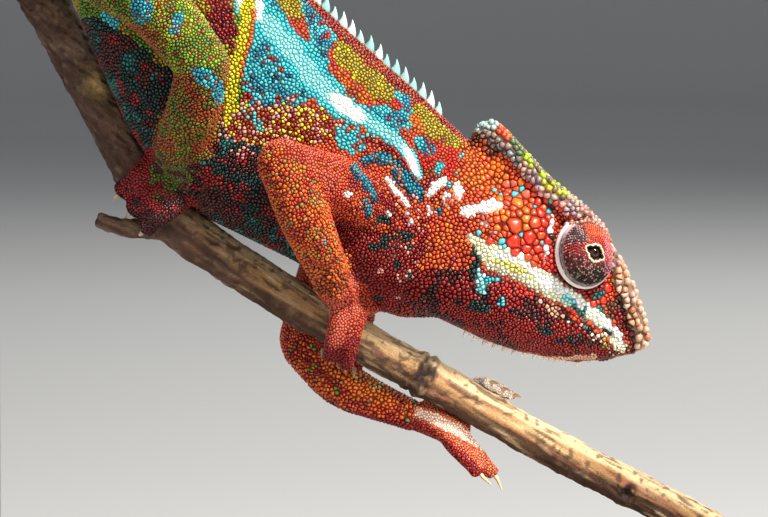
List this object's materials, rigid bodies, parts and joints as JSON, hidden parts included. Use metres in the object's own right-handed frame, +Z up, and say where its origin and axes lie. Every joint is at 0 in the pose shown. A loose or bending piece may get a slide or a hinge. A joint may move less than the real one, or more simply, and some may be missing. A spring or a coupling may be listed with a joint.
{
  "type": "panther chameleon model",
  "caption": "Still, life-size model of an adult male panther chameleon with coiled tail, climbing head down a bent branch held on a plain display stand.",
  "frame": {"origin": "centre of the display base's underside", "axes": "+X the way the animal heads, down the branch; +Y its left side; +Z up"},
  "size_m": [0.205, 0.086, 0.2004],
  "materials": {
    "scaly_skin": "beaded scales, satin",
    "eye_lid": "fine granular skin, satin",
    "eye_globe": "wet gloss",
    "claw_horn": "horn",
    "bark": "rough bark",
    "base_board": "dark stained, satin",
    "rod_steel": "brushed"
  },
  "bodies": {
    "root": {"claw_foot_left_1": "claw_horn", "claw_foot_left_2": "claw_horn", "claw_foot_left_3": "claw_horn", "claw_foot_left_4": "claw_horn", "claw_foot_left_5": "claw_horn", "claw_foot_right_1": "claw_horn", "claw_foot_right_2": "claw_horn", "claw_foot_right_3": "claw_horn", "claw_foot_right_4": "claw_horn", "claw_foot_right_5": "claw_horn", "claw_hand_left_1": "claw_horn", "claw_hand_left_2": "claw_horn", "claw_hand_left_3": "claw_horn", "claw_hand_left_4": "claw_horn", "claw_hand_left_5": "claw_horn", "claw_hand_right_1": "claw_horn", "claw_hand_right_2": "claw_horn", "claw_hand_right_3": "claw_horn", "claw_hand_right_4": "claw_horn", "claw_hand_right_5": "claw_horn", "eye_turret_left": "eye_lid", "eye_turret_right": "eye_lid", "eyeball_left": "eye_globe", "eyeball_right": "eye_globe", "foot_left": "scaly_skin", "foot_right": "scaly_skin", "forearm_left": "scaly_skin", "forearm_right": "scaly_skin", "hand_left": "scaly_skin", "hand_right": "scaly_skin", "head": "scaly_skin", "lower_jaw": "scaly_skin", "neck": "scaly_skin", "perch_branch": "bark", "shank_left": "scaly_skin", "shank_right": "scaly_skin", "stand_base": "base_board", "stand_rod_1": "rod_steel", "stand_rod_2": "rod_steel", "tail_base": "scaly_skin", "tail_coil_1": "scaly_skin", "tail_coil_2": "scaly_skin", "tail_coil_3": "scaly_skin", "tail_coil_4": "scaly_skin", "tail_coil_5": "scaly_skin", "tail_coil_6": "scaly_skin", "thigh_left": "scaly_skin", "thigh_right": "scaly_skin", "trunk": "scaly_skin", "upper_arm_left": "scaly_skin", "upper_arm_right": "scaly_skin"}
  },
  "joints": []
}
